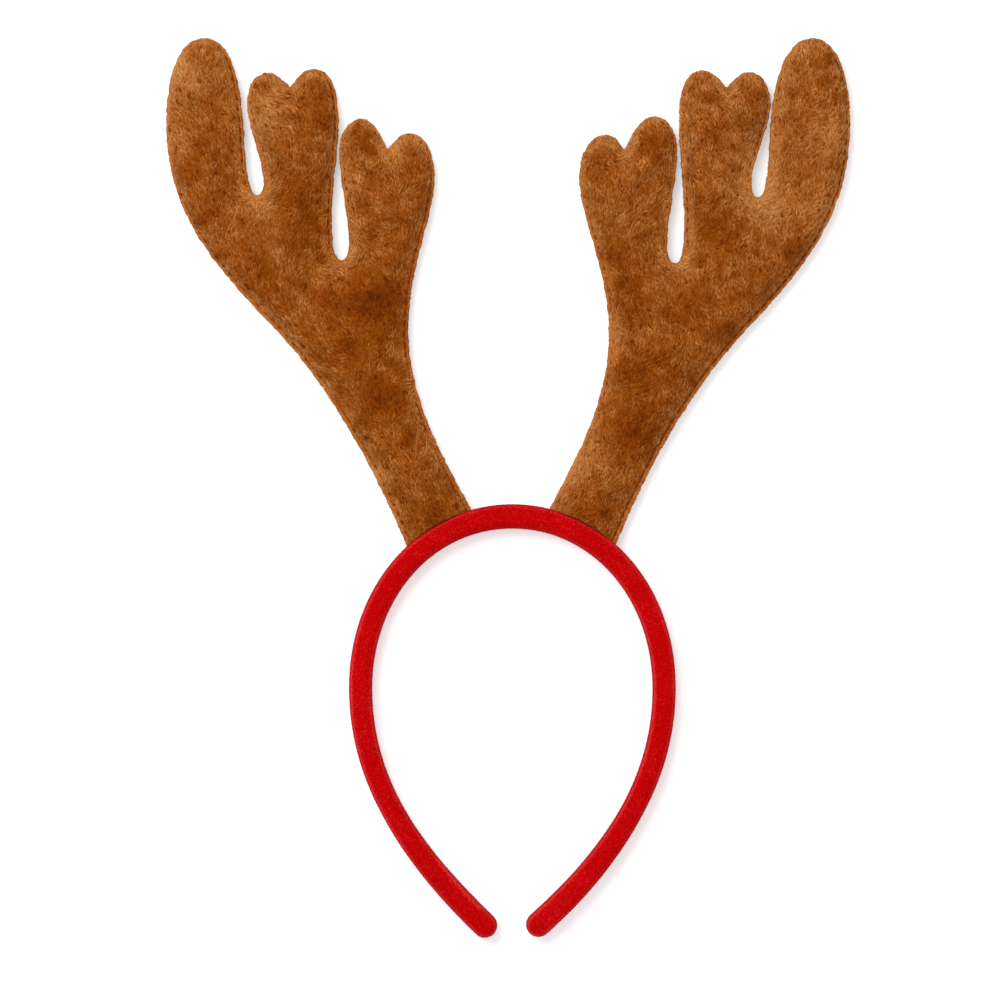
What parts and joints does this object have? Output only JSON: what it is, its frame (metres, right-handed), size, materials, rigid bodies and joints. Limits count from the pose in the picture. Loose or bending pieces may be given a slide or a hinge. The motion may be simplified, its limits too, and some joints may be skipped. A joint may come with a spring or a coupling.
{
  "type": "reindeer antler headband",
  "caption": "Padded alice band with a pair of stuffed plush reindeer antlers standing on its crown; worn over the head as a costume headpiece.",
  "frame": {"origin": "middle of the underside, halfway along and across, where the headband lies on its back", "axes": "+Y from the tips of the band to the tips of the antlers, +Z out of the front of the headband, +X across the head to the right of a person who looks at the front"},
  "size_m": [0.2738, 0.36, 0.0137],
  "materials": {
    "velvet": "matt pile",
    "plush": "matt pile"
  },
  "bodies": {
    "root": {"band": "velvet", "left_antler_front": "plush", "left_antler_back": "plush", "right_antler_front": "plush", "right_antler_back": "plush"}
  },
  "joints": []
}
